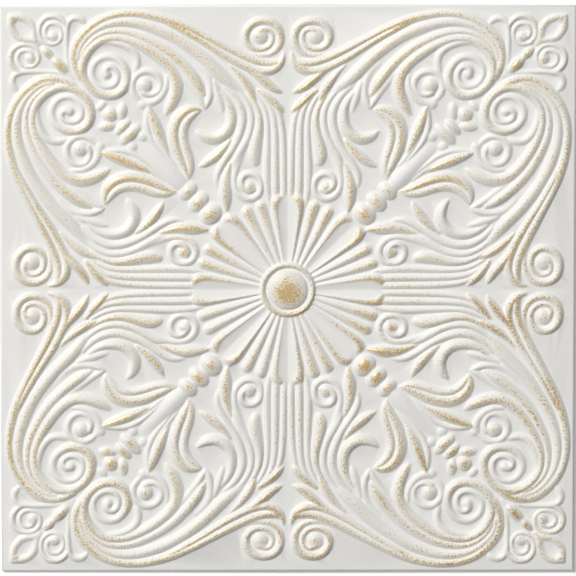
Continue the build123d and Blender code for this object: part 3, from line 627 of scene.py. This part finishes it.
all_points, all_faces = all_points[first], to_first.ravel()[all_faces]
print("top surface:", len(all_points), "points,", len(all_faces), "triangles")

# %% [markdown]
# The outline of the top surface is the ring of edges that only one triangle uses. It is
# carried straight down to the back to make the sides, and the back is a fan round its middle.
# Foam can't hold a sharp corner, so the four corners are drawn in to a small round.

# %% Sides and back
edges = np.concatenate([all_faces[:, [0, 1]], all_faces[:, [1, 2]], all_faces[:, [2, 0]]])
edge_key = np.sort(edges, axis=1)
_, which, uses = np.unique(edge_key, axis=0, return_inverse=True, return_counts=True)
rim = edges[uses[which.ravel()] == 1]
print("rim edges:", len(rim))
top_count, triangle_count = len(all_points), len(all_faces)
rim_points = np.unique(rim)
below = np.full(top_count, -1)
below[rim_points] = top_count + np.arange(len(rim_points))
foot_points = all_points[rim_points] * (1, 1, 0)
middle = top_count + len(rim_points)
all_points = np.vstack([all_points, foot_points, [[0.0, 0.0, 0.0]]])
walls = np.stack([rim[:, 1], rim[:, 0], below[rim[:, 0]], below[rim[:, 1]]], axis=-1)
back = np.stack([below[rim[:, 1]], below[rim[:, 0]], np.full(len(rim), middle)], axis=-1)

CORNER_ROUND = 2.0
corner_start = HALF_TILE - CORNER_ROUND
past = np.clip(np.abs(all_points[:, :2]) - corner_start, 0, None)
in_corner = (past > 0).all(axis=1)
pull = past.max(axis=1)[in_corner] / np.linalg.norm(past[in_corner], axis=1)
rounded = corner_start + past[in_corner] * pull[:, None]
all_points[in_corner, :2] = rounded * np.sign(all_points[in_corner, :2])
print("points drawn in at the corners:", int(in_corner.sum()))

# %% [markdown]
# Decimated triangles are long and thin, and smooth shading across them would show. The
# drawing knows the true slope everywhere, so each corner of a face gets its normal from the
# field instead of from its neighbours.

# %% The tile's mesh
def sample(field, places):
    """A field of the quarter at points of the whole tile, between its four nearest cells."""
    # a hair inside the last cell, so that each point has a next cell on both sides
    column, row = (np.abs(places[:, :2]) * CELLS_PER_MM).clip(0, cells - 1.001).T
    c, r = column.astype(int), row.astype(int)
    fc, fr = column - c, row - r
    low = field[r, c] * (1 - fc) + field[r, c + 1] * fc
    high = field[r + 1, c] * (1 - fc) + field[r + 1, c + 1] * fc
    return low * (1 - fr) + high * fr


slope_y, slope_x = np.gradient(surface, 1 / CELLS_PER_MM)
slope_x[:, 0] = 0
slope_y[0, :] = 0
top_points = all_points[:top_count]
tilt = np.stack([sample(slope_x, top_points), sample(slope_y, top_points)], axis=-1)
top_normals = np.concatenate([-tilt * np.sign(top_points[:, :2]), np.ones((top_count, 1))], axis=1)
top_normals /= np.linalg.norm(top_normals, axis=1)[:, None]

tile_mesh = bpy.data.meshes.new("moulded_tile")
tile_mesh.from_pydata(
    (all_points * MM).tolist(), [], all_faces.tolist() + walls.tolist() + back.tolist()
)
tile_mesh.update()
TOP, SIDE, BACK = 0, 1, 2
kinds = np.repeat([TOP, SIDE, BACK], [triangle_count, len(walls), len(back)])
tile_mesh.polygons.foreach_set("material_index", (kinds > TOP).astype(np.int32))
tile_mesh.polygons.foreach_set("use_smooth", np.ones(len(kinds), bool))
corner_point = np.empty(len(tile_mesh.loops), np.int32)
tile_mesh.loops.foreach_get("vertex_index", corner_point)
sizes = np.repeat([3, 4, 3], [triangle_count, len(walls), len(back)])
corner_kind = np.repeat(kinds, sizes)
corner_normals = np.zeros((len(corner_point), 3))
on_top = corner_kind == TOP
corner_normals[on_top] = top_normals[corner_point[on_top]]
corner_normals[corner_kind == BACK] = (0, 0, -1)
face_normals = np.empty(len(kinds) * 3)
tile_mesh.polygons.foreach_get("normal", face_normals)
corner_face_normals = np.repeat(face_normals.reshape(-1, 3), sizes, axis=0)
corner_normals[corner_kind == SIDE] = corner_face_normals[corner_kind == SIDE]
tile_mesh.normals_split_custom_set(corner_normals.tolist())
print("tile mesh:", len(tile_mesh.polygons), "faces")

# %% Gold values on the points
values = np.zeros(len(all_points), np.float32)
values[:top_count] = sample(gilding, top_points)
layer = tile_mesh.attributes.new("gilding", "FLOAT", "POINT")
layer.data.foreach_set("value", values)
print("gilding up to", round(float(values.max()), 2))

tile = bpy.data.objects.new("moulded_tile", tile_mesh)
bpy.context.scene.collection.objects.link(tile)
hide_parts(NODE)
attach(tile, "root")
bpy.data.objects.remove(quarter_object)

# %% [markdown]
# ## Finishes
#
# Two surfaces show. The decorated face is expanded polystyrene skinned with matt white
# emulsion, with gold bronze paint dry-brushed on its crests. The sides and the back are the
# bare foam, where the cells of the foam beads can be seen.

# %% Helpers for materials
def srgb(code):
    """Linear colour with alpha from an sRGB hex value such as EFEDE6."""
    channels = [int(code[i : i + 2], 16) / 255 for i in (0, 2, 4)]
    linear = [c / 12.92 if c <= 0.04045 else ((c + 0.055) / 1.055) ** 2.4 for c in channels]
    return (*linear, 1.0)


def add_node(tree, kind, settings=None, inputs=None):
    """Adds a node. An input given as a socket is linked, and anything else is set as its value."""
    made = tree.nodes.new(kind)
    for name, value in (settings or {}).items():
        setattr(made, name, value)
    for name, value in (inputs or {}).items():
        if isinstance(value, bpy.types.NodeSocket):
            tree.links.new(value, made.inputs[name])
        else:
            made.inputs[name].default_value = value
    return made


def per_metre(size_mm):
    """Texture scale that makes a pattern's features this many millimetres wide."""
    return 1 / (size_mm * MM)


def new_material(name):
    """Empty node material and its tree."""
    material = bpy.data.materials.new(name)
    material.use_nodes = True
    material.node_tree.nodes.clear()
    return material, material.node_tree


print("the sRGB grey 808080 is", round(srgb("808080")[0], 3), "in linear light")

# %% [markdown]
# ### White emulsion with gold bronze dry-brushed on the crests
#
# A dry brush leaves paint only where it touches, as specks that thin out down the flanks. So
# the gold that the drawing left on a point is the chance of a speck there, and a fine noise
# turns that chance into specks. Lone specks are thin and brown, and where they run together
# the bronze is thick and bright. Between them a rubbed film tints the white to cream. The
# bronze is also painted darker towards the corner of the tile that lies away from the lamp,
# as painted shade where the light falls off. Patches a few centimetres
# wide make the brush press harder in some places than in others, which also keeps the eight
# repeats of the pattern from looking alike. An image of brushed gold would look the same on
# every crest and would need unwrapping, so noise in the tile's own space does the work. Real
# specks go down to half a millimetre, less than a pixel of the photograph, so they are drawn
# as coarse as they need to show.

# %% Painted face
painted, tree = new_material("white_emulsion_with_dry_brushed_gold")
place = add_node(tree, "ShaderNodeTexCoord").outputs["Object"]
gold_amount = add_node(tree, "ShaderNodeAttribute", {"attribute_name": "gilding"}).outputs["Fac"]
print("the face is painted by its place and by the attribute gilding")

# %% Where the brush pressed harder, and the specks that it left
SPECK_MM = 1.4
PATCH_MM = 60.0
patches = add_node(tree, "ShaderNodeTexNoise", None, {
    "Vector": place, "Scale": per_metre(PATCH_MM), "Detail": 1.0, "Roughness": 0.5,
}).outputs["Fac"]
pressure = add_node(tree, "ShaderNodeMapRange", None, {
    "Value": patches, "From Min": 0.35, "From Max": 0.65, "To Min": 0.8, "To Max": 1.4,
}).outputs["Result"]
chance = add_node(tree, "ShaderNodeMath", {"operation": "MULTIPLY"}, {
    0: gold_amount, 1: pressure,
}).outputs[0]
bare = add_node(tree, "ShaderNodeMapRange", None, {
    "Value": chance, "From Max": 2.0, "To Min": 0.71, "To Max": 0.26,
}).outputs["Result"]
speckle = add_node(tree, "ShaderNodeTexNoise", None, {
    "Vector": place, "Scale": per_metre(SPECK_MM), "Detail": 2.0, "Roughness": 0.85,
}).outputs["Fac"]
over = add_node(tree, "ShaderNodeMath", {"operation": "SUBTRACT"}, {
    0: speckle, 1: bare,
}).outputs[0]
gold_mask = add_node(tree, "ShaderNodeMapRange", None, {
    "Value": over, "From Max": 0.05, "To Max": 0.9,
}).outputs["Result"]
film = add_node(tree, "ShaderNodeMapRange", None, {
    "Value": chance, "From Min": 0.22, "From Max": 1.3, "To Max": 0.72,
}).outputs["Result"]
print("specks", SPECK_MM, "mm, patches", PATCH_MM, "mm")

# %% White, the rubbed film of bronze, and the bronze itself
CLOUD_MM = 90.0
cloud = add_node(tree, "ShaderNodeTexNoise", None, {
    "Vector": place, "Scale": per_metre(CLOUD_MM), "Detail": 3.0, "Roughness": 0.5,
}).outputs["Fac"]
white = add_node(tree, "ShaderNodeMix", {"data_type": "RGBA"}, {
    "Factor": cloud, 6: srgb("E7E6E2"), 7: srgb("EEECE7"),
}).outputs[2]
rubbed = add_node(tree, "ShaderNodeMix", {"data_type": "RGBA"}, {
    "Factor": film, 6: white, 7: srgb("ECDBAE"),
}).outputs[2]
bronze_tone = add_node(tree, "ShaderNodeMapRange", None, {
    "Value": over, "From Max": 0.2,
}).outputs["Result"]

# painted shade: the bronze is painted darker towards the corner at +X and -Y, away from the lamp
away_from_lamp = add_node(tree, "ShaderNodeVectorMath", {"operation": "DOT_PRODUCT"}, {
    0: place, 1: (1.0, -1.0, 0.0),
}).outputs["Value"]
painted_falloff_shade = add_node(tree, "ShaderNodeMapRange", None, {
    "Value": away_from_lamp, "From Min": -0.3, "From Max": 0.4,
}).outputs["Result"]
# each pair holds the bronze's own colour and a darker copy of it, which is painted shade for the
# far corner
thin_bronze = add_node(tree, "ShaderNodeMix", {"data_type": "RGBA"}, {
    "Factor": painted_falloff_shade, 6: srgb("94733F"), 7: srgb("6E522C"),
}).outputs[2]
thick_bronze = add_node(tree, "ShaderNodeMix", {"data_type": "RGBA"}, {
    "Factor": painted_falloff_shade, 6: srgb("E4C88A"), 7: srgb("B8945A"),
}).outputs[2]
bronze = add_node(tree, "ShaderNodeMix", {"data_type": "RGBA"}, {
    "Factor": bronze_tone, 6: thin_bronze, 7: thick_bronze,
}).outputs[2]
finish = add_node(tree, "ShaderNodeMix", {"data_type": "RGBA"}, {
    "Factor": gold_mask, 6: rubbed, 7: bronze,
}).outputs[2]
EMULSION_ROUGHNESS, BRONZE_ROUGHNESS, BRONZE_METALLIC = 0.55, 0.36, 0.5
roughness = add_node(tree, "ShaderNodeMapRange", None, {
    "Value": gold_mask, "To Min": EMULSION_ROUGHNESS, "To Max": BRONZE_ROUGHNESS,
}).outputs["Result"]
metal = add_node(tree, "ShaderNodeMapRange", None, {
    "Value": gold_mask, "To Max": BRONZE_METALLIC,
}).outputs["Result"]
print("emulsion roughness", EMULSION_ROUGHNESS, "and bronze roughness", BRONZE_ROUGHNESS)

# %% [markdown]
# The emulsion is thin, so the seams between the foam beads show through it as a faint net, and
# the paint adds a fine grain of its own. Both are far shallower than the mesh can carry, so
# they are bumps of about a tenth of a millimetre. The real grain is finer than a pixel of the
# photograph, and it is drawn as coarse as it needs to show.

# %% Foam grain under the paint
BEAD_MM = 2.6
GRAIN_MM = 0.9
to_seam = add_node(tree, "ShaderNodeTexVoronoi", {"feature": "DISTANCE_TO_EDGE"}, {
    "Vector": place, "Scale": per_metre(BEAD_MM),
}).outputs["Distance"]
seams = add_node(tree, "ShaderNodeMapRange", None, {
    "Value": to_seam, "From Max": 0.12,
}).outputs["Result"]
grain = add_node(tree, "ShaderNodeTexNoise", None, {
    "Vector": place, "Scale": per_metre(GRAIN_MM), "Detail": 3.0, "Roughness": 0.65,
}).outputs["Fac"]
seam_bump = add_node(tree, "ShaderNodeBump", None, {
    "Height": seams, "Strength": 0.12, "Distance": 0.05 * MM,
})
grain_bump = add_node(tree, "ShaderNodeBump", None, {
    "Height": grain, "Strength": 0.35, "Distance": 0.12 * MM, "Normal": seam_bump.outputs["Normal"],
})
shader = add_node(tree, "ShaderNodeBsdfPrincipled", None, {
    "Base Color": finish, "Metallic": metal, "Roughness": roughness,
    "IOR": 1.5, "Specular IOR Level": 0.35, "Normal": grain_bump.outputs["Normal"],
})
add_node(tree, "ShaderNodeOutputMaterial", None, {"Surface": shader.outputs["BSDF"]})
tile_mesh.materials.append(painted)
print("painted face:", len(tree.nodes), "nodes, beads", BEAD_MM, "mm, grain", GRAIN_MM, "mm")

# %% [markdown]
# ### Bare expanded polystyrene
#
# Where the tile leaves the mould unpainted, the foam beads show as rounded cells two or three
# millimetres wide that meet in fine seams. The beads are pure white with a faint waxy gloss.
# Each bead is painted greyer from its middle out to its rim, as painted shade in the seams.

# %% Bare foam
bare_foam, tree = new_material("bare_expanded_polystyrene")
place = add_node(tree, "ShaderNodeTexCoord").outputs["Object"]
bead_shape = add_node(tree, "ShaderNodeTexVoronoi", {"feature": "F1"}, {
    "Vector": place, "Scale": per_metre(BEAD_MM),
})
# painted shade: each bead's white turns grey towards its rim, where the seams between beads lie
bead_white_and_seam_shade = add_node(tree, "ShaderNodeMix", {"data_type": "RGBA"}, {
    "Factor": bead_shape.outputs["Distance"], 6: srgb("F4F3F0"), 7: srgb("E4E2DC"),
}).outputs[2]
bead_bump = add_node(tree, "ShaderNodeBump", {"invert": True}, {
    "Height": bead_shape.outputs["Distance"], "Strength": 0.6, "Distance": 0.3 * MM,
})
shader = add_node(tree, "ShaderNodeBsdfPrincipled", None, {
    "Base Color": bead_white_and_seam_shade, "Roughness": 0.6, "IOR": 1.5,
    "Specular IOR Level": 0.3, "Normal": bead_bump.outputs["Normal"],
})
add_node(tree, "ShaderNodeOutputMaterial", None, {"Surface": shader.outputs["BSDF"]})
tile_mesh.materials.append(bare_foam)
print("bare foam:", len(tree.nodes), "nodes")

# %% [markdown]
# ## Table, light and camera
#
# The tile lies on a table of matt white laminate, which shows a soft shadow and no reflection.
# A large soft lamp stands at the upper left, low enough to rake across the relief, and the
# room fills the shadows. The table and the room look white to the camera without throwing
# more light on the tile, because Light Path tells them which rays come from the camera.
# Reflections see the same white room, so the bronze has something to mirror. The camera looks
# down through a long lens and leans about ten degrees from upright, because the photo shows
# the square a little shorter than it is wide.

# %% Floor
FLOOR_HALF = 3.0
FLOOR_DROP = 0.0002
WHITE_LIFT = 0.22
floor_mesh = bpy.data.meshes.new("white_table")
corner_signs = ((-1, -1), (1, -1), (1, 1), (-1, 1))
floor_corners = [(x * FLOOR_HALF, y * FLOOR_HALF, 0) for x, y in corner_signs]
floor_mesh.from_pydata(floor_corners, [], [(0, 1, 2, 3)])
floor = bpy.data.objects.new("white_table", floor_mesh)
floor.location.z = -FLOOR_DROP
bpy.context.scene.collection.objects.link(floor)
table, tree = new_material("matt_white_laminate")
light_path = add_node(tree, "ShaderNodeLightPath")
lift = add_node(tree, "ShaderNodeMath", {"operation": "MULTIPLY"}, {
    0: light_path.outputs["Is Camera Ray"], 1: WHITE_LIFT,
})
glow = add_node(tree, "ShaderNodeEmission", None, {
    "Color": (1, 1, 1, 1), "Strength": lift.outputs[0],
})
paint = add_node(tree, "ShaderNodeBsdfDiffuse", None, {"Color": srgb("F6F6F4")})
both = add_node(tree, "ShaderNodeAddShader", None, {0: glow.outputs[0], 1: paint.outputs[0]})
add_node(tree, "ShaderNodeOutputMaterial", None, {"Surface": both.outputs[0]})
floor_mesh.materials.append(table)
print("table", 2 * FLOOR_HALF, "m wide")

# %% Lamp and room light
KEY_FROM = Vector((-4.3, 4.3, 6.8))
key_data = bpy.data.lights.new("soft_window", "AREA")
key_data.shape = "SQUARE"
key_data.size = 1.95
key_data.energy = 765.0
key = bpy.data.objects.new("soft_window", key_data)
key.location = KEY_FROM
key.rotation_euler = (-KEY_FROM).to_track_quat("-Z", "Y").to_euler()
bpy.context.scene.collection.objects.link(key)

ROOM_LIGHT = 0.185
world = bpy.data.worlds.new("room")
bpy.context.scene.world = world
world.use_nodes = True
tree = world.node_tree
tree.nodes.clear()
rays = add_node(tree, "ShaderNodeLightPath")
seen_or_through = add_node(tree, "ShaderNodeMath", {"operation": "MAXIMUM"}, {
    0: rays.outputs["Is Camera Ray"], 1: rays.outputs["Is Transmission Ray"],
}).outputs[0]
seen = add_node(tree, "ShaderNodeMath", {"operation": "MAXIMUM"}, {
    0: seen_or_through, 1: rays.outputs["Is Glossy Ray"],
}).outputs[0]
room = add_node(tree, "ShaderNodeBackground", None, {
    "Color": (1, 1, 1, 1), "Strength": ROOM_LIGHT,
})
white_wall = add_node(tree, "ShaderNodeBackground", None, {
    "Color": (1, 1, 1, 1), "Strength": 1.0,
})
choice = add_node(tree, "ShaderNodeMixShader", None, {
    "Fac": seen, 1: room.outputs[0], 2: white_wall.outputs[0],
})
add_node(tree, "ShaderNodeOutputWorld", None, {"Surface": choice.outputs[0]})
print("lamp", round(KEY_FROM.length, 1), "m away,", round(key_data.energy), "W")

# %% Camera
IMAGE_PX = 576
PX_PER_MM = 1.151
TILE_CENTRE_PX = (287.6, 289.4)
CAMERA_DISTANCE = 10.0
CAMERA_LEAN = radians(9.9)
camera_data = bpy.data.cameras.new("camera")
camera_data.sensor_width = 36.0
frame_width = IMAGE_PX / PX_PER_MM * MM
camera_data.lens = camera_data.sensor_width * CAMERA_DISTANCE / frame_width
camera_data.shift_x = (IMAGE_PX / 2 - TILE_CENTRE_PX[0]) / IMAGE_PX
camera_data.shift_y = (TILE_CENTRE_PX[1] - IMAGE_PX / 2) / IMAGE_PX
camera_data.clip_end = 30.0
camera = bpy.data.objects.new("camera", camera_data)
camera.location = (
    0, CAMERA_DISTANCE * np.sin(CAMERA_LEAN),
    GROUND * MM + CAMERA_DISTANCE * np.cos(CAMERA_LEAN),
)
camera.rotation_euler = (-CAMERA_LEAN, 0, 0)
bpy.context.scene.collection.objects.link(camera)
bpy.context.scene.camera = camera
bpy.context.scene.view_settings.view_transform = "Standard"
print("lens", round(camera_data.lens, 1), "mm at", CAMERA_DISTANCE, "m")
